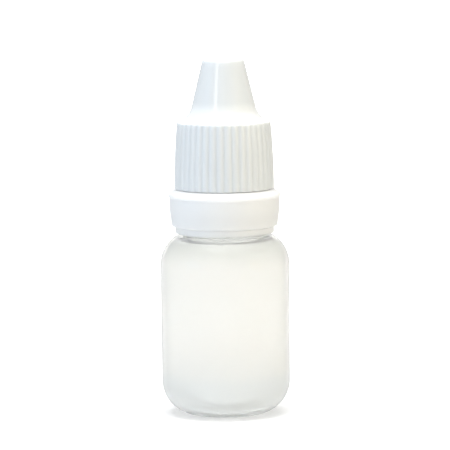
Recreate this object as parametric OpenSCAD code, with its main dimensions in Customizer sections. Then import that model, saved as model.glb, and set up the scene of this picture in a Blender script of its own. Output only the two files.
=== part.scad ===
// Squeezable eye drop bottle, 10 ml size, in four mouldings: the blown bottle, the dropper tip
// pressed into its neck, the tamper ring hooked under the neck's snap bead, and the ribbed screw
// cap with its tall hollow cone. Millimetres, +Z up, origin at the middle of the base.

/* [Bottle body] */
// Outer diameter of the body, just under the shoulder
body_d = 25; // [23:0.1:27]
// How much narrower the body is at the heel than under the shoulder
body_taper = 0.2; // [0:0.1:1.2]
// Height from the base to the root of the neck
body_h = 34.8; // [26:0.1:60]
// Wall thickness of the blown body
body_wall = 0.9; // [0.6:0.05:1.2]
// Height of the rounded shoulder
shoulder_h = 5.6; // [5:0.1:8]
// Width of the flat ring between the neck and the rounded shoulder
shoulder_flat = 1.25; // [0.6:0.05:1.6]
// Radius of the rounding between that flat ring and the shoulder's main curve
shoulder_round = 0.9; // [0.4:0.1:1.2]
// Radius of the heel, between the side and the base
heel_r = 6.6; // [3:0.1:7.5]
// Width of the flat ring that the bottle stands on
foot_w = 0.95; // [0.6:0.05:2]
// Depth of the hollow under the base
base_hollow = 0.9; // [0.3:0.1:1.5]

/* [Neck] */
// Height of the neck, from the shoulder to its sealing rim
neck_h = 19.7; // [18:0.1:26]
// Outer diameter of the neck's root, inside the tamper ring
root_d = 15.6; // [15:0.1:17]
// Diameter of the bore in the neck's root
root_bore = 12.6; // [11.6:0.1:13]
// Radius of the fillet between the neck's root and the shoulder
root_fillet = 0.4; // [0.2:0.1:0.5]
// Height of the snap bead's underside over the shoulder
bead_rise = 3.2; // [3:0.1:4]
// Diameter of the snap bead
bead_d = 18.2; // [17:0.1:19]
// Height of the snap bead's upright edge
bead_edge = 0.8; // [0.5:0.1:1.2]
// Outer diameter of the neck's threaded part, without the thread
neck_d = 13.8; // [13.2:0.1:14.6]
// Diameter over the thread
thread_d = 15.4; // [14.8:0.1:16.2]
// Diameter of the bore that the dropper tip is pressed into
neck_bore = 10.6; // [9.6:0.1:11.2]
// Radius of the rounded rim, and size of the bore's lead-in
rim_round = 0.3; // [0.1:0.05:0.5]

/* [Dropper tip] */
// Length of the plug inside the neck
plug_h = 7; // [5:0.5:9]
// Wall thickness of the plug
plug_wall = 1.2; // [0.8:0.1:1.5]
// How far the plug's two sealing beads squeeze into the neck's bore
plug_squeeze = 0.08; // [0.02:0.02:0.14]
// Thickness of the flange that rests on the neck
flange_t = 1; // [0.6:0.1:1.6]
// Height of the nozzle over the flange
nozzle_h = 10.4; // [8:0.2:13]
// Diameter of the nozzle at the flange, without its fillet
nozzle_base_d = 7.2; // [6:0.1:8]
// Wall thickness of the nozzle at the flange
nozzle_wall = 1.3; // [0.9:0.1:1.6]
// Radius of the fillet between the nozzle and its flange
nozzle_fillet = 1; // [0.4:0.1:1.4]
// Diameter of the nozzle at its end, before rounding
nozzle_tip_d = 3.4; // [3:0.1:4]
// Radius of the nozzle's rounded end
nozzle_round = 0.6; // [0.3:0.05:0.7]
// Diameter of the drop hole
drop_hole = 1; // [0.8:0.05:1.3]
// Length of the drop hole's straight part
drop_hole_h = 2.2; // [1.8:0.1:4]

/* [Tamper ring] */
// Overall height of the ring
ring_h = 8.5; // [7.9:0.05:9.6]
// Wall thickness of the ring
ring_wall = 1.25; // [0.9:0.05:1.5]
// How much the band narrows towards its foot, on the radius
band_taper = 0.4; // [0:0.05:0.4]
// Share of the band's height over which it narrows, from its foot upwards
band_draft = 0.58; // [0.3:0.02:0.9]
// Thickness of the step between the foot's outside and the hook's top
step_t = 1.15; // [0.8:0.05:1.4]
// How far the lip stands out from the band
lip_out = 0.25; // [0.1:0.05:0.5]
// Height of the lip
lip_h = 0.8; // [0.5:0.1:1.4]
// How far the ring's top rises from the lip to the cap
top_rise = 0.7; // [0.3:0.05:1]
// Thickness of the web that carries the break ties
web_t = 0.9; // [0.6:0.1:1.2]
// Radius of the rounded lower edges of the foot and the band
ring_round = 0.25; // [0.1:0.05:0.4]
// Number of break ties
tie_n = 8; // [4:1:12]
// Width of a break tie
tie_w = 1.1; // [0.6:0.1:1.8]
// Height of a break tie
tie_h = 0.08; // [0.06:0.02:0.4]

/* [Cap] */
// Wall thickness of the cone, the shoulder and the top
cap_wall = 1.15; // [0.9:0.05:1.4]
// Wall thickness of the skirt at its top, without the ribs
skirt_wall = 0.9; // [0.7:0.05:1.3]
// How much wider the skirt is at its open end, on the radius
skirt_flare = 0.58; // [0.3:0.01:0.8]
// Radius of the rounded edge at the skirt's open end
skirt_round = 0.5; // [0.3:0.05:0.6]
// Size of the lead-in at the mouth of the cap's bore
mouth_lead = 0.4; // [0.2:0.05:0.5]
// Number of ribs round the skirt
rib_n = 40; // [24:1:60]
// Depth of the grooves between the ribs
rib_h = 0.16; // [0.1:0.02:0.4]
// Share of the pitch that a rib fills
rib_share = 0.62; // [0.4:0.02:0.76]
// Outer diameter of the cone at its top
cone_top_d = 7.9; // [7.2:0.1:9]
// Slope of the cone's side, in degrees from upright
cone_slope = 13.7; // [11:0.1:15]
// Radius of the concave flare between the cone and the shoulder
flare_r = 3.8; // [2:0.1:4.5]
// Radius of the rounding round the cone's top
cone_round = 0.55; // [0.2:0.05:0.8]
// Radius of the rounding inside, where the cone meets the seat
seat_round = 1.6; // [0.6:0.1:1.8]
// Diameter of the boss that carries the sealing pin
boss_d = 3.6; // [2.6:0.1:4.2]
// Length of the boss
boss_h = 1.85; // [1:0.05:3]
// Length of the sealing pin
pin_h = 1.5; // [0.8:0.1:1.7]

/* [Clearances] */
// Gap between the shoulder and the ring's foot
ring_gap = 0.55; // [0.4:0.05:0.7]
// Gap all round between the ring's hook and the neck's root
hook_gap = 0.5; // [0.3:0.05:0.6]
// Gap all round between the ring's wall and the snap bead
bead_gap = 0.3; // [0.2:0.05:0.5]
// Gap between the hook and the underside of the snap bead
snap_gap = 0.35; // [0.2:0.05:0.5]
// Gap between a broken tie and the cap
tie_gap = 0.02; // [0.01:0.01:0.1]
// Gap all round between the thread's crest and the cap's bore
thread_gap = 0.3; // [0.2:0.05:0.5]
// Gap between the tip's flange and the cap's seat
seat_gap = 0.15; // [0.05:0.05:0.4]
// Gap between the nozzle's end and the cap's boss
seal_gap = 0.05; // [0.02:0.01:0.15]
// Gap all round between the sealing pin and the drop hole
pin_gap = 0.08; // [0.03:0.01:0.12]
// Gap all round between the plug and the neck's bore, beside the sealing beads
plug_gap = 0.1; // [0.05:0.01:0.2]

/* [Hidden] */
$fn = 96;
arc_steps = 12;
small_steps = 4;
overlap = 0.2;

natural = [0.93, 0.94, 0.93];
natural_tip = [0.88, 0.91, 0.92];
white = [0.99, 0.99, 0.99];
ring_white = [0.94, 0.95, 0.98];

// Heights over the base, from the bottom up
z_shoulder = body_h - shoulder_h;
z_bead = body_h + bead_rise;
z_rim = body_h + neck_h;
z_flange = z_rim + flange_t;
z_tip = z_flange + nozzle_h;
z_ring = body_h + ring_gap;
z_hook = z_bead - snap_gap;
z_ring_top = z_ring + ring_h;
z_cap = z_ring_top + tie_h + tie_gap;
z_seat = z_flange + seat_gap;
z_skirt = z_seat + cap_wall;
z_boss = z_tip + seal_gap;
z_ceiling = z_boss + boss_h;
z_top = z_ceiling + cap_wall;

// Radii, from the neck outwards
neck_r = neck_d / 2;
bore_r = neck_bore / 2;
root_r = root_d / 2;
root_bore_r = root_bore / 2;
bead_r = bead_d / 2;
body_r = body_d / 2;
shoulder_in_r = root_r + shoulder_flat;
shoulder_w = body_r - shoulder_in_r;
heel_in_r = body_r - body_taper / 2 - heel_r;
hook_r = root_r + hook_gap;
pocket_r = bead_r + bead_gap;
band_r = pocket_r + ring_wall;
cap_bore_r = thread_d / 2 + thread_gap;
cap_mouth_r = cap_bore_r + mouth_lead;
cap_edge_r = cap_bore_r + skirt_wall + rib_h;
cap_foot_r = cap_edge_r + skirt_flare;

// Points on a circle of radius r about c, from angle a0 to angle a1
function arc(c, r, a0, a1, n = small_steps) =
    [for (i = [0 : n]) let (a = a0 + (a1 - a0) * i / n) c + r * [cos(a), sin(a)]];

// A list in the opposite order
function backwards(list) = [for (i = [len(list) - 1 : -1 : 0]) list[i]];

// Radius at height z of a cone whose radius is top_r at top_z
function cone_at(top_r, top_z, slope, z) = top_r + (top_z - z) * tan(slope);

// Concave flare of radius r from the level floor_z up to that cone, beginning at edge_r
function flare(top_r, top_z, slope, r, floor_z, edge_r, n) =
    let (c_z = floor_z + r,
         c_r = cone_at(top_r, top_z, slope, c_z - r * sin(slope)) + r * cos(slope),
         start = c_r > edge_r ? 180 + acos((c_r - edge_r) / r) : 270)
    concat(c_r > edge_r ? [] : [[edge_r, floor_z]], arc([c_r, c_z], r, start, 180 + slope, n));

// Rounding of radius r from that cone's side over onto its flat top
function crown(top_r, top_z, slope, r) =
    let (c_z = top_z - r,
         c_r = cone_at(top_r, top_z, slope, c_z + r * sin(slope)) - r * cos(slope))
    arc([c_r, c_z], r, slope, 90);

// A closed outline of [radius, height] points, turned into a solid of revolution
module turned(outline) {
    rotate_extrude() polygon(outline);
}

// ---------------------------------------------------------------- bottle

// Half of a hollow base: a shallow dish of depth base_hollow, from its middle outwards
function base_dish(z) = [for (i = [0 : small_steps]) let (t = i / small_steps)
    [(heel_in_r - foot_w) * t, z + base_hollow * (1 - t * t)]];

// The snap bead slopes at this share of its reach, so that the ring can be pushed down over it
bead_slope = 0.7;
z_bead_top = z_bead + bead_edge + (bead_r - neck_r) * bead_slope;
inner_fillet = root_fillet + body_wall;

// Main curve of the shoulder: a circle that meets the side and the small rounding smoothly
shoulder_r = (pow(shoulder_w, 2) - pow(shoulder_round, 2) + pow(shoulder_h - shoulder_round, 2))
    / (2 * (shoulder_w - shoulder_round));
shoulder_c = [body_r - shoulder_r, z_shoulder];
shoulder_turn = atan2(shoulder_h - shoulder_round, shoulder_in_r - shoulder_c[0]);
shoulder_turn_in = asin((shoulder_h - body_wall) / (shoulder_r - body_wall));

// The bore narrows just over the snap bead
z_bore_step = z_bead_top + body_wall;

bottle_outside = concat(
    base_dish(0),
    arc([heel_in_r, heel_r], heel_r, -90, 0, arc_steps),
    arc(shoulder_c, shoulder_r, 0, shoulder_turn, arc_steps),
    arc([shoulder_in_r, body_h - shoulder_round], shoulder_round, shoulder_turn, 90),
    arc([root_r + root_fillet, body_h + root_fillet], root_fillet, 270, 180),
    [[root_r, z_bead],
     [bead_r, z_bead],
     [bead_r, z_bead + bead_edge],
     [neck_r, z_bead_top]],
    arc([neck_r - rim_round, z_rim - rim_round], rim_round, 0, 90));

bottle_inside = concat(
    base_dish(body_wall),
    arc([heel_in_r, heel_r], heel_r - body_wall, -90, 0, arc_steps),
    arc(shoulder_c, shoulder_r - body_wall, 0, shoulder_turn_in, arc_steps),
    arc([root_bore_r + inner_fillet, body_h + root_fillet], inner_fillet, 270, 180),
    [[root_bore_r, z_bore_step - root_bore_r + bore_r],
     [bore_r, z_bore_step],
     [bore_r, z_rim - rim_round],
     [bore_r + rim_round, z_rim]]);

module bottle() {
    color(natural) turned(concat(bottle_outside, backwards(bottle_inside)));
}

// ----------------------------------------------------------- dropper tip

plug_r = bore_r - plug_gap;
plug_in_r = plug_r - plug_wall;
plug_lead = 0.4;
z_plug = z_rim - plug_h;
// Shares of the plug's length at which its two sealing beads stand, from its lower end
seal_shares = [0.35, 0.75];
seal_half = 0.45;

nozzle_r = nozzle_base_d / 2;
nozzle_tip_r = nozzle_tip_d / 2;
nozzle_slope = atan((nozzle_r - nozzle_tip_r) / nozzle_h);
hole_r = drop_hole / 2;
funnel_r = nozzle_r - nozzle_wall;

// One sealing bead on the plug, from below upwards
function seal_bead(z) =
    [[plug_r, z - seal_half],
     [bore_r + plug_squeeze, z - seal_half / 4],
     [bore_r + plug_squeeze, z + seal_half / 4],
     [plug_r, z + seal_half]];

tip_outside = concat(
    [[plug_r - plug_lead, z_plug],
     [plug_r, z_plug + 2 * plug_lead]],
    [for (share = seal_shares) each seal_bead(z_plug + share * plug_h)],
    [[plug_r, z_rim],
     [neck_r, z_rim]],
    arc([neck_r - rim_round, z_flange - rim_round], rim_round, 0, 90),
    flare(nozzle_tip_r, z_tip, nozzle_slope, nozzle_fillet, z_flange, neck_r - rim_round,
        small_steps),
    crown(nozzle_tip_r, z_tip, nozzle_slope, nozzle_round));

tip_inside =
    [[plug_in_r, z_plug],
     [plug_in_r, z_flange - plug_in_r + funnel_r],
     [funnel_r, z_flange],
     [hole_r, z_tip - drop_hole_h],
     [hole_r, z_tip]];

module dropper_tip() {
    color(natural_tip) turned(concat(tip_outside, backwards(tip_inside)));
}

// ----------------------------------------------------------- tamper ring

foot_r = hook_r + ring_wall;
band_low_r = band_r - band_taper;
z_foot_top = z_hook - step_t;
z_lip_top = z_ring_top - top_rise;
z_lip = z_lip_top - lip_h;
lip_r = band_r + lip_out;
lip_round = min(lip_out, lip_h / 2);
hook_lead = 0.4;
z_web = z_ring_top - web_t;
tie_r0 = cap_mouth_r + mouth_lead / 4;
tie_r1 = cap_foot_r - skirt_round;

ring_outside = concat(
    arc([foot_r - ring_round, z_ring + ring_round], ring_round, -90, 0),
    [[foot_r, z_foot_top]],
    arc([band_low_r - ring_round, z_foot_top + 2 * ring_round], ring_round, -90, 0),
    [[band_r, z_foot_top + band_draft * (z_lip - z_foot_top)],
     [band_r, z_lip]],
    arc([lip_r - lip_round, z_lip + lip_round], lip_round, -90, 0),
    arc([lip_r - lip_round, z_lip_top - lip_round], lip_round, 0, 60),
    [[cap_foot_r, z_ring_top]]);

ring_inside =
    [[hook_r + hook_lead, z_ring],
     [hook_r, z_ring + hook_lead],
     [hook_r, z_hook],
     [pocket_r, z_hook],
     [pocket_r, z_web - pocket_r + cap_mouth_r],
     [cap_mouth_r, z_web],
     [cap_mouth_r, z_ring_top]];

// The stubs that are left of the ties between the ring and the cap
module break_ties() {
    for (i = [0 : tie_n - 1])
        rotate([0, 0, 360 * i / tie_n])
            translate([tie_r0, -tie_w / 2, z_ring_top - overlap])
                cube([tie_r1 - tie_r0, tie_w, tie_h + overlap]);
}

module tamper_ring() {
    color(ring_white) union() {
        turned(concat(ring_outside, backwards(ring_inside)));
        break_ties();
    }
}

// ------------------------------------------------------------------- cap

cone_top_r = cone_top_d / 2;
cone_in_r = cone_top_r - cap_wall / cos(cone_slope);
boss_r = boss_d / 2;
pin_r = hole_r - pin_gap;
pin_lead = pin_r / 2;
z_pin = z_boss - pin_h;
side_steps = 6;
groove_angle = 360 / rib_n * (1 - rib_share);
z_groove_top = z_skirt + flare_r;

// Radius of the barrel-shaped skirt over its ribs: full at the open end, narrower at the top
function skirt_at(z) =
    let (t = (z - z_cap) / (z_skirt - z_cap))
    cap_edge_r + skirt_flare * (1 - t * t);

// Points up the skirt's side, inset by the given depth, between two heights
function skirt_side(inset, z0, z1) = [for (i = [0 : side_steps])
    let (z = z0 + (z1 - z0) * i / side_steps) [skirt_at(z) - inset, z]];

cap_outside = concat(
    arc([skirt_at(z_cap + skirt_round) - skirt_round, z_cap + skirt_round], skirt_round, -90, 0),
    skirt_side(0, z_cap + 2 * skirt_round, z_skirt),
    flare(cone_top_r, z_top, cone_slope, flare_r, z_skirt, cap_edge_r, arc_steps),
    crown(cone_top_r, z_top, cone_slope, cone_round),
    [[0, z_top]]);

cap_inside = concat(
    [[cap_mouth_r, z_cap],
     [cap_bore_r, z_cap + 2 * mouth_lead]],
    flare(cone_in_r, z_top, cone_slope, seat_round, z_seat, cap_bore_r, small_steps),
    [[cone_at(cone_in_r, z_top, cone_slope, z_ceiling), z_ceiling],
     [boss_r, z_ceiling],
     [boss_r, z_boss],
     [pin_r, z_boss],
     [pin_r, z_pin + pin_lead],
     [pin_r - pin_lead, z_pin],
     [0, z_pin]]);

// The grooves run out through the skirt's open end and through the edge of its shoulder
module rib_grooves() {
    outline = concat(
        skirt_side(rib_h, z_cap, z_skirt),
        [[cap_edge_r - rib_h, z_groove_top],
         [cap_foot_r + 1, z_groove_top],
         [cap_foot_r + 1, z_cap]]);
    for (i = [0 : rib_n - 1])
        rotate([0, 0, 360 * i / rib_n - groove_angle / 2])
            rotate_extrude(angle = groove_angle) polygon(outline);
}

module cap() {
    color(white) difference() {
        turned(concat(cap_outside, backwards(cap_inside)));
        rib_grooves();
    }
}

bottle();
dropper_tip();
tamper_ring();
cap();
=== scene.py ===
# %% [markdown]
# # A small squeezable dropper bottle
#
# Four mouldings make this bottle: a blown body of natural, milky polyethylene, a dropper tip
# pressed into its neck, a tamper ring hooked under a bead of the neck, and a white screw cap with
# a tall cone and a finely ribbed skirt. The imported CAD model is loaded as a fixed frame, and each
# moulding is then made again with a finer surface, in the same place and at the same size.

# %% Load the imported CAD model
import math

import bpy
from mathutils import Matrix, Vector


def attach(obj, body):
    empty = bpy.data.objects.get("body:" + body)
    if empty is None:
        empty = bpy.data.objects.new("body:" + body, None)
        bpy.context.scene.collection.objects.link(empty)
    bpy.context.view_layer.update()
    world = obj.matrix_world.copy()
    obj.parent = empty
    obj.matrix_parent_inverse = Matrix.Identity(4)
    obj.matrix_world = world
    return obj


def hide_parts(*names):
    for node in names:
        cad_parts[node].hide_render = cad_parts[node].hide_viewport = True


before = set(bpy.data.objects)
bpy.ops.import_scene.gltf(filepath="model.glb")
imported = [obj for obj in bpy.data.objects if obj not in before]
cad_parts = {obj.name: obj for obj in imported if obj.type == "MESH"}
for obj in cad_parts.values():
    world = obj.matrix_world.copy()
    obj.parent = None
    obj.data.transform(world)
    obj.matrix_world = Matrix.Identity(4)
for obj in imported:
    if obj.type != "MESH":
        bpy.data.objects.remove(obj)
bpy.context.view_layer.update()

# %% [markdown]
# ## Units
#
# Blender works in metres here, as the frame does. A bottle of 69 mm is drawn in millimetres, so
# every size below is written in millimetres and brought to metres at the very end of each shape.

# %% Millimetres, plain colours, and an empty scene round the frame
MM = 0.001
scene = bpy.context.scene
scene.view_settings.view_transform = "Standard"
for stray in [o for o in scene.objects if o.type in ("CAMERA", "LIGHT")]:
    bpy.data.objects.remove(stray)

# %% [markdown]
# ## The camera
#
# The photograph was taken with a long lens, from slightly above and very slightly tilted. Long
# lenses flatten a bottle: its rims show as thin ellipses, nearly alike at the top and the bottom.

# %% Camera at the photograph's angle
FRAME_PX = 450            # the picture is square
FOCAL_PX = 3352           # focal length in pixels of that picture
CAMERA_RAISED = math.radians(6.5)
CAMERA_DISTANCE = 650 * MM
CAMERA_ROLL = math.radians(-0.56)
AIM = Vector((0.06, 0, 36.76)) * MM
ORBIT_CENTRE = Vector((0, 0, 34.5 * MM))  # half way up the bottle

camera_data = bpy.data.cameras.new("camera")
camera_data.sensor_width = 36
camera_data.lens = FOCAL_PX / FRAME_PX * camera_data.sensor_width
camera_data.clip_start, camera_data.clip_end = 0.01, 20
camera = bpy.data.objects.new("camera", camera_data)
scene.collection.objects.link(camera)
backwards = Vector((0, -math.cos(CAMERA_RAISED), math.sin(CAMERA_RAISED)))
camera_place = ORBIT_CENTRE + backwards * CAMERA_DISTANCE
looking = (AIM - camera_place).to_track_quat("-Z", "Y").to_matrix().to_4x4()
camera.matrix_world = (
    Matrix.Translation(camera_place) @ looking @ Matrix.Rotation(CAMERA_ROLL, 4, "Z")
)
scene.camera = camera
print(f"lens {camera_data.lens:.0f} mm, raised {math.degrees(CAMERA_RAISED):.1f} degrees")

# %% [markdown]
# ## Outlines
#
# A turned or moulded round piece is described by half of its section: a list of [radius, height]
# points from the axis or the lowest edge outwards, up the outside and back down the inside. The
# helpers below write the roundings, so that an outline reads like a drawing.

# %% Helpers that write an outline
def arc(centre, radius, start, end, steps=10):
    """Points on a circle, from one angle in degrees to another."""
    angles = [math.radians(start + (end - start) * i / steps) for i in range(steps + 1)]
    return [(centre[0] + radius * math.cos(a), centre[1] + radius * math.sin(a)) for a in angles]


def cone_at(top_r, top_z, slope, z):
    """Radius at height z of a cone that has radius top_r at top_z."""
    return top_r + (top_z - z) * math.tan(math.radians(slope))


def flare(top_r, top_z, slope, radius, floor_z, edge_r, steps=20):
    """Hollow rounding from a level floor up to a cone, beginning at edge_r."""
    lean = math.radians(slope)
    z = floor_z + radius
    r = cone_at(top_r, top_z, slope, z - radius * math.sin(lean)) + radius * math.cos(lean)
    if r > edge_r:
        start = 180 + math.degrees(math.acos((r - edge_r) / radius))
        return arc((r, z), radius, start, 180 + slope, steps)
    return [(edge_r, floor_z)] + arc((r, z), radius, 270, 180 + slope, steps)


def crown(top_r, top_z, slope, radius):
    """Rounding from a cone's side over onto its flat top."""
    lean = math.radians(slope)
    z = top_z - radius
    r = cone_at(top_r, top_z, slope, z + radius * math.sin(lean)) - radius * math.cos(lean)
    return arc((r, z), radius, slope, 90)


def stepped(outline, longest=0.9, near=0.06, corner=20):
    """The outline with extra points on its straight stretches: one close to each corner, so that
    smooth shading doesn't bend over a flat, and the rest no further apart than `longest`."""
    points = [p for p, q in zip(outline, outline[1:]) if math.dist(p, q) > 1e-6] + outline[-1:]
    headings = [math.atan2(q[1] - p[1], q[0] - p[0]) for p, q in zip(points, points[1:])]
    turns = [math.remainder(b - a, math.tau) for a, b in zip(headings, headings[1:])]
    sharp = [True] + [abs(t) > math.radians(corner) for t in turns] + [True]
    made = points[:1]
    for i, (p, q) in enumerate(zip(points, points[1:])):
        length = math.dist(p, q)
        count = math.ceil(length / longest)
        shares = {k / count for k in range(1, count)}
        if length > 4 * near:
            shares |= {near / length} if sharp[i] else set()
            shares |= {1 - near / length} if sharp[i + 1] else set()
        made += [(p[0] + (q[0] - p[0]) * s, p[1] + (q[1] - p[1]) * s) for s in sorted(shares)]
        made.append(q)
    return made


print("a quarter arc of 10 mm ends at", [round(v, 3) for v in arc((0, 0), 10, 0, 90)[-1]])

# %% [markdown]
# ## Arithmetic in a node tree
#
# Geometry Nodes work with fields: a formula that is evaluated at each point. Written node by node
# a formula is hard to read, so this small class lets Python's own signs add the Math nodes.

# %% A field that Python's signs can work on
class Field:
    """One number at each point of a geometry. Each sign adds one Math node to the tree."""

    def __init__(self, tree, socket):
        self.tree, self.socket = tree, socket

    def math(self, operation, *others):
        node = self.tree.nodes.new("ShaderNodeMath")
        node.operation = operation
        for slot, value in zip(node.inputs, (self, *others)):
            feed(self.tree, slot, value)
        return Field(self.tree, node.outputs[0])

    def __add__(self, other):
        return self.math("ADD", other)

    def __sub__(self, other):
        return self.math("SUBTRACT", other)

    def __mul__(self, other):
        return self.math("MULTIPLY", other)

    def __truediv__(self, other):
        return self.math("DIVIDE", other)

    def least(self, other):
        return self.math("MINIMUM", other)

    def ramp(self, start, end):
        """0 at start, 1 at end and a smooth step between them."""
        node = self.tree.nodes.new("ShaderNodeMapRange")
        node.interpolation_type = "SMOOTHSTEP"
        for slot, value in zip(node.inputs, (self, start, end, 0.0, 1.0)):
            feed(self.tree, slot, value)
        return Field(self.tree, node.outputs[0])


def feed(tree, slot, value):
    """Gives an input a field, a socket or a plain value."""
    if isinstance(value, Field):
        tree.links.new(value.socket, slot)
    elif isinstance(value, bpy.types.NodeSocket):
        tree.links.new(value, slot)
    else:
        slot.default_value = value


def add(tree, kind, inputs=(), **settings):
    """A new node with its settings, and its inputs given by name."""
    node = tree.nodes.new(kind)
    for name, value in settings.items():
        setattr(node, name, value)
    for name, value in dict(inputs).items():
        feed(tree, node.inputs[name], value)
    return node


def vector(tree, x=0.0, y=0.0, z=0.0):
    """Three numbers or fields as one vector."""
    return add(tree, "ShaderNodeCombineXYZ", {"X": x, "Y": y, "Z": z}).outputs[0]


def parts_of(tree, socket):
    """The x, y and z of a vector, as fields."""
    node = add(tree, "ShaderNodeSeparateXYZ", {"Vector": socket})
    return [Field(tree, out) for out in node.outputs]


print("fields are ready: +, -, *, /, least() and ramp()")

# %% [markdown]
# ## Trees and pieces
#
# Each tree has named inputs for its sizes. A modifier stores them under the sockets' identifiers,
# and they are set before the object is first evaluated. The result is then made a plain mesh,
# because the exporter wants meshes that no modifier changes any more.

# %% Making a tree, and turning its result into a plain mesh
SOCKETS = {float: "NodeSocketFloat", int: "NodeSocketInt"}
SHARP = math.radians(38)  # edges that turn by more than this stay crisp


def new_tree(name, sizes):
    """A geometry tree with Geometry and Material inputs and one input for each size."""
    tree = bpy.data.node_groups.new(name, "GeometryNodeTree")
    face = tree.interface
    face.new_socket("Geometry", in_out="INPUT", socket_type="NodeSocketGeometry")
    for size, value in sizes.items():
        face.new_socket(size, in_out="INPUT", socket_type=SOCKETS[type(value)])
    face.new_socket("Material", in_out="INPUT", socket_type="NodeSocketMaterial")
    face.new_socket("Geometry", in_out="OUTPUT", socket_type="NodeSocketGeometry")
    inside = tree.nodes.new("NodeGroupInput")
    return tree, inside, {size: Field(tree, inside.outputs[size]) for size in sizes}


def close_tree(tree, inside, geometry, above=None):
    """Smooth shading with crisp edges kept, real geometry, the material, and the output. With
    above=(z, material), faces higher than z get that material instead."""
    turned_by = tree.nodes.new("GeometryNodeInputMeshEdgeAngle").outputs["Unsigned Angle"]
    crisp = Field(tree, turned_by).math("GREATER_THAN", SHARP)
    smooth = add(tree, "GeometryNodeSetShadeSmooth", {"Geometry": geometry}, domain="FACE")
    edges = add(
        tree,
        "GeometryNodeSetShadeSmooth",
        {"Geometry": smooth.outputs[0], "Selection": crisp, "Shade Smooth": False},
        domain="EDGE",
    )
    real = add(tree, "GeometryNodeRealizeInstances", {"Geometry": edges.outputs[0]})
    painted = add(
        tree,
        "GeometryNodeSetMaterial",
        {"Geometry": real.outputs[0], "Material": inside.outputs["Material"]},
    )
    if above:
        _, _, z = parts_of(tree, tree.nodes.new("GeometryNodeInputPosition").outputs[0])
        painted = add(
            tree,
            "GeometryNodeSetMaterial",
            {
                "Geometry": painted.outputs[0],
                "Selection": z.math("GREATER_THAN", above[0]),
                "Material": above[1],
            },
        )
    out = tree.nodes.new("NodeGroupOutput")
    tree.links.new(painted.outputs[0], out.inputs["Geometry"])


def make_piece(name, outline, tree, inside, geometry, sizes, material, above=None):
    """Closes the tree, runs it on the outline and returns its result as a plain mesh object."""
    close_tree(tree, inside, geometry, above)
    start = bpy.data.meshes.new(name + "_outline")
    start.from_pydata([(r * MM, 0, z * MM) for r, z in outline], [], [])
    carrier = bpy.data.objects.new(name + "_start", start)
    scene.collection.objects.link(carrier)
    modifier = carrier.modifiers.new("tree", "NODES")
    modifier.node_group = tree
    given = {**sizes, "Rows": len(outline), "Material": material}
    for item in tree.interface.items_tree:
        if item.in_out == "INPUT" and item.name in given:
            modifier[item.identifier] = given[item.name]
    depsgraph = bpy.context.evaluated_depsgraph_get()
    mesh = bpy.data.meshes.new_from_object(carrier.evaluated_get(depsgraph))
    bpy.data.objects.remove(carrier)
    mesh.name = name
    piece = bpy.data.objects.new(name, mesh)
    scene.collection.objects.link(piece)
    box = [(min(c), max(c)) for c in zip(*(v.co for v in mesh.vertices))]
    print(f"{name}: {len(mesh.polygons)} faces, mm", [[round(v / MM, 2) for v in b] for b in box])
    return piece


print("trees and pieces can be made")

# %% [markdown]
# ## Turning an outline
#
# The wall of every piece is one sheet wrapped round the axis: a grid with a column for each angle
# and a row for each point of the outline. A rule may then move each point, which is how ribs,
# waves and scars come into the very same closed surface, with no seam of their own. Spin or a
# Screw modifier would turn the outline too, but neither can bend it by a rule.

# %% The turned wall, as part of a tree
def turned_wall(tree, inside, fields, rule=None, column_angle=None):
    """A closed wall turned from the outline in the tree's own geometry. rule(r, z, angle) gives
    a point's new radius and height, and column_angle(column) the angle of a column."""
    rows, columns = fields["Rows"], fields["Columns"]
    grid = add(tree, "GeometryNodeMeshGrid", {"Vertices X": columns + 1, "Vertices Y": rows})
    index = Field(tree, tree.nodes.new("GeometryNodeInputIndex").outputs[0])
    column = (index / rows).math("FLOOR").math("MODULO", columns)
    position = tree.nodes.new("GeometryNodeInputPosition").outputs[0]
    on_outline = add(
        tree, "GeometryNodeSampleIndex", data_type="FLOAT_VECTOR", domain="POINT", clamp=True
    )
    feed(tree, on_outline.inputs["Geometry"], inside.outputs["Geometry"])
    feed(tree, on_outline.inputs["Value"], position)
    feed(tree, on_outline.inputs["Index"], index.math("MODULO", rows))
    r, _, z = parts_of(tree, on_outline.outputs[0])
    angle = column_angle(column) if column_angle else column / columns * math.tau
    if rule:
        r, z = rule(r, z, angle)
    place = vector(tree, r * angle.math("COSINE"), r * angle.math("SINE"), z)
    bent = add(
        tree, "GeometryNodeSetPosition", {"Geometry": grid.outputs["Mesh"], "Position": place}
    )
    # Faces that lie wholly on the axis have no area; the rest closes into one skin.
    x, y, _ = parts_of(tree, position)
    on_axis = (x * x + y * y).math("LESS_THAN", 1e-14)
    skin = add(
        tree,
        "GeometryNodeDeleteGeometry",
        {"Geometry": bent.outputs[0], "Selection": on_axis},
        domain="FACE",
    )
    merged = add(tree, "GeometryNodeMergeByDistance", {"Geometry": skin.outputs[0]})
    merged.inputs["Distance"].default_value = 1e-7
    return merged.outputs[0]


def union(tree, wall, other):
    """One closed skin round both solids."""
    joined = add(tree, "GeometryNodeMeshBoolean", operation="UNION", solver="MANIFOLD")
    for solid in (wall, other):
        tree.links.new(solid, joined.inputs["Mesh 2"])
    return joined.outputs["Mesh"]


print("an outline can be turned")

# %% [markdown]
# ## Screw threads
#
# A thread is a ridge of one section swept along a helix. It starts and ends by sinking into the
# wall, as on a mould whose halves have to open, and it is joined to the wall by a union, so that
# the moulding stays one closed skin. The cap's ridge starts half a pitch above the neck's, so the
# two lie beside each other when the cap is down.

# %% A thread, as part of a tree
THREAD = ("Thread radius", "Ridge", "Base", "Crest", "Pitch", "Turns", "Thread start", "Sunk")
RUN_OUT = 0.1  # share of the thread over which it sinks away at each end
PITCH, TURNS = 2.5 * MM, 2.0
NECK_THREAD_FROM = 46.4 * MM


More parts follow.
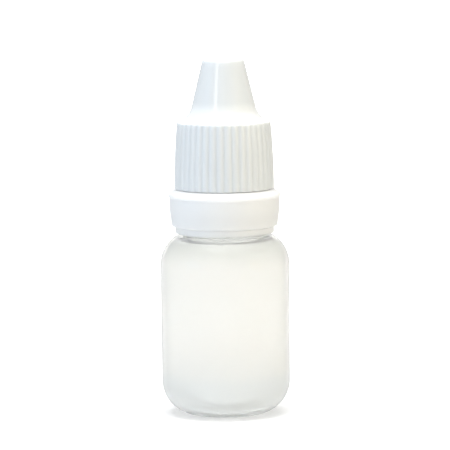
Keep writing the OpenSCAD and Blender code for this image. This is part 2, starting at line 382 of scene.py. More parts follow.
def with_thread(tree, fields, wall, inward=False):
    """The wall joined to a right-handed ridge, outside a neck or, if inward, inside a cap."""
    radius, ridge, base, crest, pitch, turns, start, sunk = (fields[size] for size in THREAD)
    helix = add(
        tree,
        "GeometryNodeCurveSpiral",
        {
            "Resolution": 96,
            "Rotations": turns,
            "Start Radius": radius,
            "End Radius": radius,
            "Height": pitch * turns,
            "Reverse": True,
        },
    )
    lifted = add(tree, "GeometryNodeSetPosition", {"Geometry": helix.outputs[0]})
    feed(tree, lifted.inputs["Offset"], vector(tree, z=start))
    upright = add(tree, "GeometryNodeSetCurveNormal", {"Curve": lifted.outputs[0]}, mode="Z_UP")
    section = add(tree, "GeometryNodeCurvePrimitiveQuadrilateral", mode="POINTS")
    top = ridge * (-1.0 if inward else 1.0)
    root = sunk * (1.0 if inward else -1.0)
    corners = ((root, base * -0.5), (top, crest * -0.5), (top, crest * 0.5), (root, base * 0.5))
    for number, (out, up) in enumerate(corners, 1):
        feed(tree, section.inputs[f"Point {number}"], vector(tree, out, up))
    along = Field(tree, tree.nodes.new("GeometryNodeSplineParameter").outputs["Factor"])
    size = along.ramp(0.0, RUN_OUT) * along.ramp(1.0, 1.0 - RUN_OUT) * 0.95 + 0.05
    swept = add(
        tree,
        "GeometryNodeCurveToMesh",
        {
            "Curve": upright.outputs[0],
            "Profile Curve": section.outputs[0],
            "Scale": size,
            "Fill Caps": True,
        },
    )
    return union(tree, wall, swept.outputs[0])


print("threads can be cut")

# %% [markdown]
# ## Materials
#
# The body is low-density polyethylene without any pigment. It isn't clear: tiny crystals in it
# scatter the light, so a thin wall looks milky and passes most light, blurred. A rough
# transmission with strong scattering under it does that. The plastic's true index of refraction
# is 1.51, but a wall of real thickness would then show the dark bands of total reflection, which
# a wall full of crystals doesn't have. So the index is close to 1, and a thin clear coat brings
# the gloss back. The tone is painted darker at the heel and up the shoulder, as painted shade, and
# painted lighter at the neck's root, as painted light against the shade under the ring. The
# neck's wall is almost twice as thick as the body's, so the neck gets a milkier material of its
# own, which the tree sets on every face above a height; its whiter tone is partly painted light
# against that same shade.
#
# The cap and the ring are polypropylene with a white pigment: light goes in a little way and
# comes out again, which softens the shade in the grooves, under a smooth skin with a faint grain.

# %% Material helpers
def new_material(name):
    """A material, its tree, its Principled shader, and object coordinates."""
    material = bpy.data.materials.new(name)
    material.use_nodes = True
    tree = material.node_tree
    place = tree.nodes.new("ShaderNodeTexCoord").outputs["Object"]
    return material, tree, tree.nodes["Principled BSDF"], place


def noise(tree, place, scale, detail=2.0, stretch=(1, 1, 1)):
    """A noise field in object coordinates; scale counts features over a metre."""
    mapping = add(tree, "ShaderNodeMapping", {"Vector": place, "Scale": stretch})
    made = add(tree, "ShaderNodeTexNoise", {"Scale": scale, "Detail": detail})
    feed(tree, made.inputs["Vector"], mapping.outputs[0])
    return Field(tree, made.outputs[0])


def scattering(shader, through, index, depth):
    """Plastic that passes a share of the light and scatters the rest, to a depth in metres."""
    shader.inputs["Transmission Weight"].default_value = through
    shader.inputs["IOR"].default_value = index
    shader.inputs["Subsurface Weight"].default_value = 1.0
    shader.inputs["Subsurface Radius"].default_value = (1, 1, 1)
    shader.inputs["Subsurface Scale"].default_value = depth


def bump(tree, shader, height, depth):
    """Bump of the given depth in metres under the shader's normal."""
    node = add(tree, "ShaderNodeBump", {"Height": height, "Distance": depth})
    feed(tree, shader.inputs["Normal"], node.outputs[0])


def blended(tree, amount, first, second):
    """A colour that a field mixes from two tones; each may be an earlier blend."""
    mix = add(tree, "ShaderNodeMix", data_type="RGBA")
    feed(tree, mix.inputs[0], amount)
    for slot, tone in ((6, first), (7, second)):
        feed(tree, mix.inputs[slot], (*tone, 1) if isinstance(tone, tuple) else tone)
    return mix.outputs[2]


def tinted(tree, shader, amount, first, second):
    """The base colour, mixed between two near tones by a field."""
    feed(tree, shader.inputs["Base Color"], blended(tree, amount, first, second))


print("material helpers are ready")

# %% Natural polyethylene, for the blown body
natural, tree, shader, place = new_material("milky_polyethylene")
scattering(shader, through=0.75, index=1.04, depth=3 * MM)
shader.inputs["Coat Weight"].default_value = 0.3
shader.inputs["Coat Roughness"].default_value = 0.16
# The thick wall's tone is random unevenness, and it is also the painted shade down the heel.
THIN_WALL, THICK_WALL_AND_HEEL_SHADE = (0.855, 0.847, 0.822), (0.79, 0.81, 0.815)
# The shoulder's tone is painted shade; the root's tone is painted light against the ring's shade.
PAINTED_SHOULDER_SHADE, PAINTED_ROOT_LIGHT = (0.745, 0.75, 0.725), (0.93, 0.935, 0.93)
UP_THE_SHOULDER = 28.5 * MM, 33 * MM
AT_THE_NECKS_ROOT = 33.6 * MM, 34.6 * MM
DOWN_THE_HEEL = 9.5 * MM, 6.5 * MM
# The share at the heel is painted shade; the share on the side is random unevenness.
HEEL_SHADE_SHARE, UNEVEN_SHARE = 0.62, 0.16  # of the thick wall's tone, at the heel and on the side
_, _, z = parts_of(tree, place)
wall = blended(tree, noise(tree, place, 140, 3) * UNEVEN_SHARE, THIN_WALL, THICK_WALL_AND_HEEL_SHADE)
# Painted shade up the shoulder, painted light at the neck's root, painted shade down the heel.
shoulder = blended(tree, z.ramp(*UP_THE_SHOULDER), wall, PAINTED_SHOULDER_SHADE)
root = blended(tree, z.ramp(*AT_THE_NECKS_ROOT), shoulder, PAINTED_ROOT_LIGHT)
tinted(tree, shader, z.ramp(*DOWN_THE_HEEL) * HEEL_SHADE_SHARE, root, THICK_WALL_AND_HEEL_SHADE)
feed(tree, shader.inputs["Roughness"], noise(tree, place, 600) * 0.08 + 0.30)
bump(tree, shader, noise(tree, place, 260) + noise(tree, place, 2600, 1) * 0.08, 0.05 * MM)
print("made", natural.name)

# %% The neck's polyethylene: the same moulding, almost twice as thick, so milkier and whiter
NECK_FROM = 35.25 * MM  # just above the ring's foot, which hides the change
neck_plastic, tree, shader, place = new_material("milky_neck_and_painted_light")
scattering(shader, through=0.3, index=1.4, depth=1.6 * MM)
# The whiter tone is partly the thicker wall and partly painted light against the ring's shade.
tinted(tree, shader, noise(tree, place, 300), (0.92, 0.93, 0.92), (0.95, 0.96, 0.95))
feed(tree, shader.inputs["Roughness"], noise(tree, place, 600) * 0.08 + 0.30)
bump(tree, shader, noise(tree, place, 260), 0.02 * MM)
print("made", neck_plastic.name)

# %% The tip's polyethylene: the same plastic, thicker, so milkier
tip_plastic, tree, shader, place = new_material("milky_tip")
scattering(shader, through=0.15, index=1.51, depth=1.2 * MM)
tinted(tree, shader, noise(tree, place, 300), (0.93, 0.94, 0.93), (0.96, 0.97, 0.96))
feed(tree, shader.inputs["Roughness"], noise(tree, place, 900) * 0.10 + 0.34)
bump(tree, shader, noise(tree, place, 3000), 0.004 * MM)
print("made", tip_plastic.name)


# %% White polypropylene, for the cap and the ring
def white_plastic(name, dark, light, depth, roughness, whiteness):
    """Half-glossy moulded plastic with the faint skin and flow that moulding leaves."""
    material, tree, shader, place = new_material(name)
    scattering(shader, through=0.0, index=1.49, depth=depth)
    tinted(tree, shader, whiteness(tree, place), dark, light)
    feed(tree, shader.inputs["Roughness"], roughness(tree, place))
    bump(tree, shader, noise(tree, place, 420, 1) + noise(tree, place, 3200) * 0.12, 0.012 * MM)
    print("made", name)
    return material


def satin(tree, place):
    """The roughness of a mould wall that was only blasted."""
    return noise(tree, place, 1500) * 0.08 + 0.28


def flow(tree, place):
    """The faint clouds that flowing plastic leaves, drawn out along the height."""
    return noise(tree, place, 220, 3, (1, 1, 0.25))


RING_TONES = (0.93, 0.935, 0.94), (0.96, 0.96, 0.965)
ring_plastic = white_plastic("white_ring", *RING_TONES, 2.5 * MM, satin, flow)

# %% [markdown]
# ## The blown bottle
#
# A tube of hot plastic is blown out against a two-part mould. That leaves an even wall with slow
# waves in it, a faint line up both sides where the mould's halves met, and a short scar across
# the hollow of the base, where the tube was pinched shut. All three are rules on the turned wall.

# %% Sizes of the bottle, in millimetres
BODY_R, BODY_H, BODY_WALL, BODY_TAPER = 12.5, 34.8, 0.9, 0.1
SHOULDER_H, SHOULDER_ROUND, SHOULDER_IN_R = 5.6, 0.9, 9.05
HEEL_R, FOOT_W, BASE_HOLLOW = 6.6, 0.95, 0.9
ROOT_R, ROOT_BORE_R, ROOT_FILLET = 7.8, 6.3, 0.4
NECK_R, BORE_R, NECK_H, RIM_ROUND = 6.9, 5.3, 19.7, 0.3
BEAD_RISE, BEAD_R, BEAD_EDGE, BEAD_SLOPE = 3.2, 9.1, 0.8, 0.7

HEEL_IN_R = BODY_R - BODY_TAPER - HEEL_R
Z_SHOULDER, Z_RIM, Z_BEAD = BODY_H - SHOULDER_H, BODY_H + NECK_H, BODY_H + BEAD_RISE
Z_BEAD_TOP = Z_BEAD + BEAD_EDGE + (BEAD_R - NECK_R) * BEAD_SLOPE
print(f"shoulder at {Z_SHOULDER:.2f}, bead up to {Z_BEAD_TOP:.2f}, rim at {Z_RIM:.2f} mm")

# %% The bottle's outline
shoulder_w = BODY_R - SHOULDER_IN_R
shoulder_r = (shoulder_w**2 - SHOULDER_ROUND**2 + (SHOULDER_H - SHOULDER_ROUND) ** 2) / (
    2 * (shoulder_w - SHOULDER_ROUND)
)
shoulder_c = (BODY_R - shoulder_r, Z_SHOULDER)
shoulder_turn = math.degrees(
    math.atan2(SHOULDER_H - SHOULDER_ROUND, SHOULDER_IN_R - shoulder_c[0])
)
shoulder_turn_in = math.degrees(math.asin((SHOULDER_H - BODY_WALL) / (shoulder_r - BODY_WALL)))
inner_fillet = ROOT_FILLET + BODY_WALL
Z_STEP = Z_BEAD_TOP + BODY_WALL
EDGE = 0.1  # small rounding of the bead's edges


def dish(z, steps=22):
    """The hollow of the base, from its middle outwards."""
    reach = HEEL_IN_R - FOOT_W
    shares = [i / steps for i in range(steps + 1)]
    return [(reach * s, z + BASE_HOLLOW * (1 - s * s)) for s in shares]


bottle_outside = (
    dish(0)
    + arc((HEEL_IN_R, HEEL_R), HEEL_R, -90, 0, 26)
    + arc(shoulder_c, shoulder_r, 0, shoulder_turn, 22)
    + arc((SHOULDER_IN_R, BODY_H - SHOULDER_ROUND), SHOULDER_ROUND, shoulder_turn, 90, 8)
    + arc((ROOT_R + ROOT_FILLET, BODY_H + ROOT_FILLET), ROOT_FILLET, 270, 180, 6)
    + [(ROOT_R, Z_BEAD)]
    + arc((BEAD_R - EDGE, Z_BEAD + EDGE), EDGE, -90, 0, 3)
    + arc((BEAD_R - EDGE, Z_BEAD + BEAD_EDGE - EDGE / 2), EDGE, 0, 55, 3)
    + [(NECK_R, Z_BEAD_TOP)]
    + arc((NECK_R - RIM_ROUND, Z_RIM - RIM_ROUND), RIM_ROUND, 0, 90, 6)
)
bottle_inside = (
    dish(BODY_WALL)
    + arc((HEEL_IN_R, HEEL_R), HEEL_R - BODY_WALL, -90, 0, 20)
    + arc(shoulder_c, shoulder_r - BODY_WALL, 0, shoulder_turn_in, 18)
    + arc((ROOT_BORE_R + inner_fillet, BODY_H + ROOT_FILLET), inner_fillet, 270, 180, 8)
    + [
        (ROOT_BORE_R, Z_STEP - ROOT_BORE_R + BORE_R),
        (BORE_R, Z_STEP),
        (BORE_R, Z_RIM - RIM_ROUND),
        (BORE_R + RIM_ROUND, Z_RIM),
    ]
)
bottle_outline = stepped(bottle_outside + bottle_inside[::-1])
print("points in the bottle's outline:", len(bottle_outline))

# %% The bottle's tree
bottle_sizes = {
    "Rows": 2,
    "Columns": 180,
    "Wave": 0.05 * MM,        # depth of the slow waves in the blown wall
    "Wave scale": 110.0,
    "Line": 0.03 * MM,        # height of the mould's line
    "Line width": 0.12 * MM,
    "Scar": 0.3 * MM,         # height of the pinch scar under the base
    "Scar width": 0.35 * MM,
    "Scar length": 3.6 * MM,
    "Heel": 2.5 * MM,         # the foot stays true up to here
    "Neck": (BODY_H - 1) * MM,
    "Thread radius": (NECK_R - 0.06) * MM,
    "Ridge": 0.86 * MM,
    "Base": 1.35 * MM,
    "Crest": 0.5 * MM,
    "Pitch": PITCH,
    "Turns": TURNS,
    "Thread start": NECK_THREAD_FROM,
    "Sunk": 0.3 * MM,
}
tree, inside, size = new_tree("blown_bottle", bottle_sizes)


def blown_rule(r, z, angle):
    """Waves and the mould's line on the body, and the scar across the base."""
    x, y = r * angle.math("COSINE"), r * angle.math("SINE")
    on_body = z.ramp(size["Heel"], size["Heel"] * 2) * z.ramp(size["Neck"], size["Neck"] - 3 * MM)
    waves = tree.nodes.new("ShaderNodeTexNoise")
    feed(tree, waves.inputs["Vector"], vector(tree, x, y, z))
    feed(tree, waves.inputs["Scale"], size["Wave scale"])
    waves.inputs["Detail"].default_value = 1.0
    line = y.math("ABSOLUTE").ramp(size["Line width"], 0.0)
    dip = Field(tree, waves.outputs[0]) * size["Wave"] + size["Line"] * (line * -1.0 + 1.0)
    across = y.math("ABSOLUTE").ramp(size["Scar width"], size["Scar width"] * 0.3)
    along = x.math("ABSOLUTE").ramp(size["Scar length"], size["Scar length"] * 0.8)
    under = z.ramp(BASE_HOLLOW * MM * 1.01, BASE_HOLLOW * MM)
    return r - dip * on_body, z - size["Scar"] * across * along * under


wall = turned_wall(tree, inside, size, blown_rule)
threaded = with_thread(tree, size, wall)
bottle = make_piece(
    "blown_bottle",
    bottle_outline,
    tree,
    inside,
    threaded,
    bottle_sizes,
    natural,
    above=(NECK_FROM, neck_plastic),
)

# %% [markdown]
# ## The dropper tip
#
# A plug with two sealing beads is pressed into the neck, its flange rests on the rim, and the
# hollow nozzle above it ends in the fine hole that measures the drop. It hides under the cap.

# %% Sizes and outline of the tip
PLUG_H, PLUG_WALL, PLUG_GAP, PLUG_SQUEEZE, PLUG_LEAD = 7.0, 1.2, 0.1, 0.08, 0.4
FLANGE_T, NOZZLE_H, NOZZLE_R, NOZZLE_TIP_R = 1.0, 10.4, 3.6, 1.7
NOZZLE_WALL, NOZZLE_FILLET, NOZZLE_ROUND = 1.3, 1.0, 0.6
HOLE_R, HOLE_H, SEAL_HALF = 0.5, 2.2, 0.45

plug_r = BORE_R - PLUG_GAP
plug_in_r = plug_r - PLUG_WALL
Z_PLUG, Z_FLANGE = Z_RIM - PLUG_H, Z_RIM + FLANGE_T
Z_TIP = Z_FLANGE + NOZZLE_H
nozzle_slope = math.degrees(math.atan((NOZZLE_R - NOZZLE_TIP_R) / NOZZLE_H))
funnel_r = NOZZLE_R - NOZZLE_WALL


def seal_bead(z, steps=8):
    """One sealing bead, a low round swelling that squeezes into the bore."""
    swell = BORE_R + PLUG_SQUEEZE - plug_r
    turns = [i / steps for i in range(steps + 1)]
    return [
        (plug_r + swell * math.sin(math.pi * t), z + SEAL_HALF * (2 * t - 1)) for t in turns
    ]


tip_outside = (
    [(plug_r - PLUG_LEAD, Z_PLUG), (plug_r, Z_PLUG + 2 * PLUG_LEAD)]
    + seal_bead(Z_PLUG + 0.35 * PLUG_H)
    + seal_bead(Z_PLUG + 0.75 * PLUG_H)
    + [(plug_r, Z_RIM), (NECK_R, Z_RIM)]
    + arc((NECK_R - RIM_ROUND, Z_FLANGE - RIM_ROUND), RIM_ROUND, 0, 90, 6)
    + flare(
        NOZZLE_TIP_R, Z_TIP, nozzle_slope, NOZZLE_FILLET, Z_FLANGE, NECK_R - RIM_ROUND, 12
    )
    + crown(NOZZLE_TIP_R, Z_TIP, nozzle_slope, NOZZLE_ROUND)
)
tip_inside = [
    (plug_in_r, Z_PLUG),
    (plug_in_r, Z_FLANGE - plug_in_r + funnel_r),
    (funnel_r, Z_FLANGE),
    (HOLE_R, Z_TIP - HOLE_H),
    (HOLE_R, Z_TIP),
]
tip_outline = stepped(tip_outside + tip_inside[::-1] + tip_outside[:1])
print("points in the tip's outline:", len(tip_outline))

# %% The tip
tip_sizes = {"Rows": 2, "Columns": 96}
tree, inside, size = new_tree("dropper_tip", tip_sizes)
wall = turned_wall(tree, inside, size)
tip = make_piece("drip_nozzle", tip_outline, tree, inside, wall, tip_sizes, tip_plastic)

# %% [markdown]
# ## The tamper ring
#
# The ring is pushed down over the neck's bead and hooks under it. Short ties join it to the cap
# when it is moulded, and the first turn breaks them. What stays are small stubs on the ring's
# top: instances on a circle of points, made real and joined to the ring.

# %% Sizes and outline of the ring
RING_GAP, RING_H, RING_WALL, HOOK_GAP, BEAD_GAP, SNAP_GAP = 0.55, 8.5, 1.25, 0.5, 0.3, 0.35
BAND_TAPER, BAND_DRAFT, STEP_T, RING_ROUND = 0.4, 0.58, 1.15, 0.25
LIP_OUT, LIP_H, TOP_RISE, WEB_T, HOOK_LEAD = 0.25, 0.8, 0.7, 0.9, 0.4
CAP_BORE_R, CAP_MOUTH_R, CAP_FOOT_R = 8.0, 8.4, 9.64

Z_RING = BODY_H + RING_GAP
Z_HOOK, Z_RING_TOP = Z_BEAD - SNAP_GAP, Z_RING + RING_H
z_foot_top, z_web = Z_HOOK - STEP_T, Z_RING_TOP - WEB_T
z_lip_top = Z_RING_TOP - TOP_RISE
z_lip = z_lip_top - LIP_H
hook_r, pocket_r = ROOT_R + HOOK_GAP, BEAD_R + BEAD_GAP
foot_r, band_r = hook_r + RING_WALL, pocket_r + RING_WALL
band_low_r, lip_r = band_r - BAND_TAPER, band_r + LIP_OUT

ring_outside = (
    arc((foot_r - RING_ROUND, Z_RING + RING_ROUND), RING_ROUND, -90, 0, 6)
    + [(foot_r, z_foot_top)]
    + arc((band_low_r - RING_ROUND, z_foot_top + 2 * RING_ROUND), RING_ROUND, -90, 0, 6)
    + [(band_r, z_foot_top + BAND_DRAFT * (z_lip - z_foot_top)), (band_r, z_lip)]
    + arc((lip_r - LIP_OUT, z_lip + LIP_OUT), LIP_OUT, -90, 0, 8)
    + arc((lip_r - LIP_OUT, z_lip_top - LIP_OUT), LIP_OUT, 0, 70, 8)
    + [(CAP_FOOT_R, Z_RING_TOP)]
)
ring_inside = [
    (hook_r + HOOK_LEAD, Z_RING),
    (hook_r, Z_RING + HOOK_LEAD),
    (hook_r, Z_HOOK),
    (pocket_r, Z_HOOK),
    (pocket_r, z_web - pocket_r + CAP_MOUTH_R),
    (CAP_MOUTH_R, z_web),
    (CAP_MOUTH_R, Z_RING_TOP),
]
ring_outline = stepped(ring_outside + ring_inside[::-1] + ring_outside[:1])
print("points in the ring's outline:", len(ring_outline))

# %% The ring and the stubs of its ties
TIE_FROM, TIE_TO, TIE_H, TIE_SINK = 8.5, 9.14, 0.08, 0.2
ring_sizes = {
    "Rows": 2,
    "Columns": 180,
    "Ties": 8,
    "Tie radius": (TIE_FROM + TIE_TO) / 2 * MM,
    "Tie length": (TIE_TO - TIE_FROM) * MM,
    "Tie width": 1.1 * MM,
    "Tie height": TIE_H * MM,
    "Tie sink": TIE_SINK * MM,
    "Top": Z_RING_TOP * MM,
}
tree, inside, size = new_tree("tamper_ring", ring_sizes)
wall = turned_wall(tree, inside, size)
points = add(
    tree, "GeometryNodeMeshCircle", {"Vertices": size["Ties"], "Radius": size["Tie radius"]}
)
stub = add(tree, "GeometryNodeMeshCube")
feed(
    tree,
    stub.inputs["Size"],
    vector(tree, size["Tie length"], size["Tie width"], size["Tie height"] + size["Tie sink"]),
)
turn = Field(tree, tree.nodes.new("GeometryNodeInputIndex").outputs[0]) / size["Ties"] * math.tau
spin = add(tree, "FunctionNodeAxisAngleToRotation", {"Axis": (0, 0, 1), "Angle": turn})
stubs = add(
    tree,
    "GeometryNodeInstanceOnPoints",
    {"Points": points.outputs[0], "Instance": stub.outputs[0], "Rotation": spin.outputs[0]},
)
real_stubs = add(tree, "GeometryNodeRealizeInstances", {"Geometry": stubs.outputs[0]})
raised = add(tree, "GeometryNodeSetPosition", {"Geometry": real_stubs.outputs[0]})
middle = size["Top"] + (size["Tie height"] - size["Tie sink"]) * 0.5
feed(tree, raised.inputs["Offset"], vector(tree, z=middle))
with_stubs = union(tree, wall, raised.outputs[0])
ring = make_piece(
    "tamper_ring_moulding", ring_outline, tree, inside, with_stubs, ring_sizes, ring_plastic
)

# %% [markdown]
# ## The cap
#
# The cap is a tall hollow cone that flares out into a barrel-shaped skirt. Forty soft ribs with
# rounded grooves between them give the fingers a grip. The grooves follow a rule: inside a groove
# no point may stand further out than the skirt less the groove's depth, so the grooves run out by
# themselves through the open end below and through the rounded edge above. Twelve columns share
# one pitch, and two float curves say where each stands and how deep it is cut.

# %% Sizes and outline of the cap
TIE_GAP, SEAT_GAP, SEAL_GAP, PIN_GAP = 0.02, 0.15, 0.05, 0.08
CAP_WALL, SKIRT_WALL, RIB_H, SKIRT_FLARE, SKIRT_ROUND = 1.15, 0.9, 0.16, 0.58, 0.15
CONE_TOP_R, CONE_SLOPE, FLARE_R, CONE_ROUND, SEAT_ROUND = 3.95, 13.7, 3.8, 0.55, 1.6
BOSS_R, BOSS_H, PIN_H, MOUTH_LEAD = 1.8, 1.85, 1.5, 0.4

Z_CAP = Z_RING_TOP + TIE_H + TIE_GAP
Z_SEAT = Z_FLANGE + SEAT_GAP
Z_SKIRT = Z_SEAT + CAP_WALL
Z_BOSS = Z_TIP + SEAL_GAP
Z_CEILING = Z_BOSS + BOSS_H
Z_TOP = Z_CEILING + CAP_WALL
CAP_EDGE_R = CAP_BORE_R + SKIRT_WALL + RIB_H
cone_in_r = CONE_TOP_R - CAP_WALL / math.cos(math.radians(CONE_SLOPE))
pin_r = HOLE_R - PIN_GAP


def skirt_at(z):
    """Radius of the barrel-shaped skirt over its ribs."""
    t = (z - Z_CAP) / (Z_SKIRT - Z_CAP)
    return CAP_EDGE_R + SKIRT_FLARE * (1 - t * t)


def skirt_side(z0, z1, steps=16):
    heights = [z0 + (z1 - z0) * i / steps for i in range(steps + 1)]
    return [(skirt_at(z), z) for z in heights]


cap_outside = (
    arc((skirt_at(Z_CAP + SKIRT_ROUND) - SKIRT_ROUND, Z_CAP + SKIRT_ROUND), SKIRT_ROUND, -90, 0, 8)
    + skirt_side(Z_CAP + 2 * SKIRT_ROUND, Z_SKIRT)
    + flare(CONE_TOP_R, Z_TOP, CONE_SLOPE, FLARE_R, Z_SKIRT, CAP_EDGE_R, 22)
    + crown(CONE_TOP_R, Z_TOP, CONE_SLOPE, CONE_ROUND)
    + [(0, Z_TOP)]
)
cap_inside = (
    [(CAP_MOUTH_R, Z_CAP), (CAP_BORE_R, Z_CAP + 2 * MOUTH_LEAD)]
    + flare(cone_in_r, Z_TOP, CONE_SLOPE, SEAT_ROUND, Z_SEAT, CAP_BORE_R, 8)
    + [
        (cone_at(cone_in_r, Z_TOP, CONE_SLOPE, Z_CEILING), Z_CEILING),
        (BOSS_R, Z_CEILING),
        (BOSS_R, Z_BOSS),
        (pin_r, Z_BOSS),
        (pin_r, Z_BOSS - PIN_H + pin_r / 2),
        (pin_r / 2, Z_BOSS - PIN_H),
        (0, Z_BOSS - PIN_H),
    ]
)
cap_outline = stepped(cap_outside + cap_inside[::-1] + cap_outside[:1], longest=1.6)
print("points in the cap's outline:", len(cap_outline), "top at", round(Z_TOP, 2), "mm")

# %% The cap's plastic
def smooth_cone(tree, place):
    """Half-glossy over the cone and its flare, satin over the ribbed skirt."""
    _, _, z = parts_of(tree, place)
    polished = z.ramp((Z_SKIRT - 0.3) * MM, (Z_SKIRT + 0.3) * MM)
    return satin(tree, place) - polished * 0.13


def flow_and_flare_highlight(tree, place):
    """Random flow clouds, and a painted highlight: whitest round the flare, which faces the light
    overhead.
    """
    _, _, z = parts_of(tree, place)
    below = z.ramp((Z_SKIRT + 4.2) * MM, (Z_SKIRT + 2.6) * MM)
    above = z.ramp((Z_SKIRT - 0.3) * MM, Z_SKIRT * MM)
    return flow(tree, place) * 0.33 + below * above * 0.6


# The light tone round the flare is a painted highlight; the rest of the mix is random flow.
CAP_TONES = (0.685, 0.705, 0.715), (0.83, 0.84, 0.84)
cap_plastic = white_plastic("white_cap", *CAP_TONES, 1.2 * MM, smooth_cone, flow_and_flare_highlight)

# %% The cap's tree
RIBS, COLUMNS_PER_RIB = 40, 12
# Half a pitch of 9 degrees, from the groove's middle to the rib's: where each column stands, as a
# share of the pitch, and how much of the groove's depth it has.
COLUMN_AT = (0, 0.09, 0.17, 0.24, 0.31, 0.40, 0.5)
COLUMN_DEPTH = (1, 0.88, 0.6, 0.3, 0.08, 0, 0)
cap_sizes = {
    "Rows": 2,
    "Columns": RIBS * COLUMNS_PER_RIB,
    "Rib depth": RIB_H * MM,
    "Foot height": Z_CAP * MM,
    "Skirt height": (Z_SKIRT - Z_CAP) * MM,
    "Edge radius": CAP_EDGE_R * MM,
    "Barrel": SKIRT_FLARE * MM,
    "Thread radius": (CAP_BORE_R + 0.06) * MM,
    "Ridge": 0.8 * MM,
    "Base": 1.2 * MM,
    "Crest": 0.45 * MM,
    "Pitch": PITCH,
    "Turns": TURNS,
    "Thread start": NECK_THREAD_FROM + PITCH / 2,
    "Sunk": 0.25 * MM,
}
tree, inside, size = new_tree("screw_cap", cap_sizes)


def pitch_curve(column, table):
    """Reads a table over one pitch at a column's place in it."""
    node = tree.nodes.new("ShaderNodeFloatCurve")
    points = node.mapping.curves[0].points
    while len(points) < len(table):
        points.new(0.5, 0.5)
    for number, (point, value) in enumerate(zip(points, table)):
        point.location = (number / COLUMNS_PER_RIB, value)
        point.handle_type = "VECTOR"
    node.mapping.update()
    place = column.math("MODULO", COLUMNS_PER_RIB) / COLUMNS_PER_RIB
    feed(tree, node.inputs["Value"], place)
    return Field(tree, node.outputs["Value"])


column_seen = []


def rib_angle(column):
    """The angle of a column: whole pitches, and its own place within the pitch."""
    column_seen.append(column)
    at = pitch_curve(column, list(COLUMN_AT) + [1 - v for v in COLUMN_AT[-2::-1]])
    whole = (column / COLUMNS_PER_RIB).math("FLOOR")
    return (whole + at) / (size["Columns"] / COLUMNS_PER_RIB) * math.tau


def groove_rule(r, z, angle):
    """No point stands further out than the skirt, less the groove's depth at this column."""
    depth = pitch_curve(column_seen[0], list(COLUMN_DEPTH) + list(COLUMN_DEPTH[-2::-1]))
    t = ((z - size["Foot height"]) / size["Skirt height"]).least(1.0)
    skirt = size["Edge radius"] + size["Barrel"] * (t * t * -1.0 + 1.0)
    return r.least(skirt - size["Rib depth"] * depth), z


wall = turned_wall(tree, inside, size, groove_rule, rib_angle)
threaded = with_thread(tree, size, wall, inward=True)
cap = make_piece("screw_cap", cap_outline, tree, inside, threaded, cap_sizes, cap_plastic)

# %% [markdown]
# ## The pieces take the CAD model's places
#
# Each piece replaces one solid of the CAD model and rides on its body.

# %% Ride on the bodies and replace the CAD solids
for piece, body, node, slot in (
    (bottle, "bottle", "bottle", "natural_polyethylene"),
    (tip, "bottle", "dropper_tip", "tip_polyethylene"),
    (ring, "tamper_ring", "tamper_ring", "ring_plastic"),
    (cap, "cap", "cap", "cap_plastic"),
):
    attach(piece, body)
    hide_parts(node)
    print(piece.name, "rides on", body, "and replaces", node)

# %% [markdown]
# ## Floor, surroundings and lamps
#
# The bottle stands in a white studio: a white table, white all round, a broad soft light
# overhead, a cool fill from the left and a warm one from the right. A narrow strip light puts the
# long highlight on the cone. Behind the bottle, left and right, the studio is a little dimmer,
# which draws a thin line along the upright edges of the plastic.

# %% The table and the white surroundings
def seen_by(tree, *rays):
    """1 where something is seen by one of these kinds of ray, and 0 elsewhere."""
    path = tree.nodes.new("ShaderNodeLightPath").outputs
    seen = Field(tree, path[rays[0]])
    for ray in rays[1:]:
        seen = seen + Field(tree, path[ray])
    return seen.least(1.0)


DIM = 0.3  # how much darker the studio's dim sides are


def dim_sides(tree, x, y):
    """DIM in two sectors behind the bottle, left and right of the white strip right behind it,
    for glossy rays. These include the rays that have passed through plastic."""
    aside = x.math("ABSOLUTE").math("ARCTAN2", y)
    inner = aside.ramp(math.radians(14), math.radians(20))
    outer = aside.ramp(math.radians(75), math.radians(60))
    return inner * outer * seen_by(tree, "Is Glossy Ray") * DIM


table_material = bpy.data.materials.new("white_table")
table_material.use_nodes = True
tree = table_material.node_tree
shader = tree.nodes["Principled BSDF"]
shader.inputs["Roughness"].default_value = 0.8
shader.inputs["Specular IOR Level"].default_value = 0.0
shader.inputs["Emission Color"].default_value = (1, 1, 1, 1)
place = tree.nodes.new("ShaderNodeTexCoord").outputs["Object"]
x, y, _ = parts_of(tree, place)
away = (x * x + y * y).math("SQRT")
direct = seen_by(tree, "Is Camera Ray")
bounced = seen_by(tree, "Is Glossy Ray") + seen_by(tree, "Is Transmission Ray")
dim = dim_sides(tree, x, y)
TABLE_TONE, BLACK = (0.68, 0.68, 0.68), (0, 0, 0)
tinted(tree, shader, dim, TABLE_TONE, BLACK)
# Far off, the table runs into the white backdrop; near the bottle it keeps its own shade, and so
# the bottle's shadow. Gloss and plastic see a table that is a little brighter under the bottle,
# where light has come through the milky wall. A ray that has passed through plastic counts as
# glossy and as transmitted, so it meets this spill twice.
backdrop = away.ramp(0.05, 0.6) * 0.84 + 0.36
spill = away.ramp(0.03, 0.14) * 0.2 + away.ramp(0.03, 0.01) * 0.3 + 0.25
glow = direct * backdrop + bounced * spill * (dim * -1.0 + 1.0)
feed(tree, shader.inputs["Emission Strength"], glow)

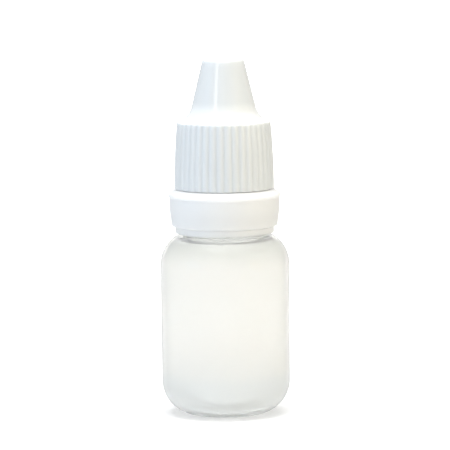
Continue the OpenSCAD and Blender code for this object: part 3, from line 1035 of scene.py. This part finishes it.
TABLE_R, TABLE_SIDES = 2, 64
table_mesh = bpy.data.meshes.new("table")
turns = [math.tau * i / TABLE_SIDES for i in range(TABLE_SIDES)]
rim = [(TABLE_R * math.cos(a), TABLE_R * math.sin(a), 0) for a in turns]
table_mesh.from_pydata(rim, [], [tuple(range(TABLE_SIDES))])
table_mesh.materials.append(table_material)
table = bpy.data.objects.new("table", table_mesh)
scene.collection.objects.link(table)

world = bpy.data.worlds.new("white_studio")
scene.world = world
world.use_nodes = True
tree = world.node_tree
FILL = 0.42  # how strongly the surroundings light the bottle; seen, they are plain white
seen = seen_by(tree, "Is Camera Ray", "Is Glossy Ray", "Is Transmission Ray")
x, y, _ = parts_of(tree, tree.nodes.new("ShaderNodeTexCoord").outputs["Generated"])
around = seen * (1 - FILL) - dim_sides(tree, x, y) + FILL
feed(tree, tree.nodes["Background"].inputs["Strength"], around)
tree.nodes["Background"].inputs["Color"].default_value = (1, 1, 1, 1)
print("table and surroundings are white")


# %% Lamps
LIT_CENTRE = Vector((0, 0, 0.04))


def lamp(name, azimuth, raised, distance, size_x, size_y, power, color=(1, 1, 1)):
    """A soft lamp turned to the bottle's middle. Azimuth 0 is where the camera is, and a
    positive azimuth is to the right of it. Angles are in degrees, sizes in metres, power in
    watts."""
    data = bpy.data.lights.new(name, "AREA")
    data.shape, data.size, data.size_y = "RECTANGLE", size_x, size_y
    data.energy, data.color = power, color
    made = bpy.data.objects.new(name, data)
    scene.collection.objects.link(made)
    a, e = math.radians(azimuth), math.radians(raised)
    towards = Vector((math.sin(a) * math.cos(e), -math.cos(a) * math.cos(e), math.sin(e)))
    made.location = LIT_CENTRE + towards * distance
    made.rotation_euler = towards.to_track_quat("Z", "Y").to_euler()
    return made


lamp("overhead", 0, 82, 0.56, 0.5, 0.5, 4.0)
lamp("left_fill", -62, 9, 0.6, 0.3, 0.2, 0.66, (0.36, 0.68, 1.0))
lamp("right_fill", 58, 9, 0.6, 0.3, 0.2, 0.8, (1.0, 0.86, 0.46))
lamp("window", -46, 35, 0.8, 0.1, 0.1, 0.2)
lamp("strip", -32, 21, 0.8, 0.12, 0.22, 0.55)
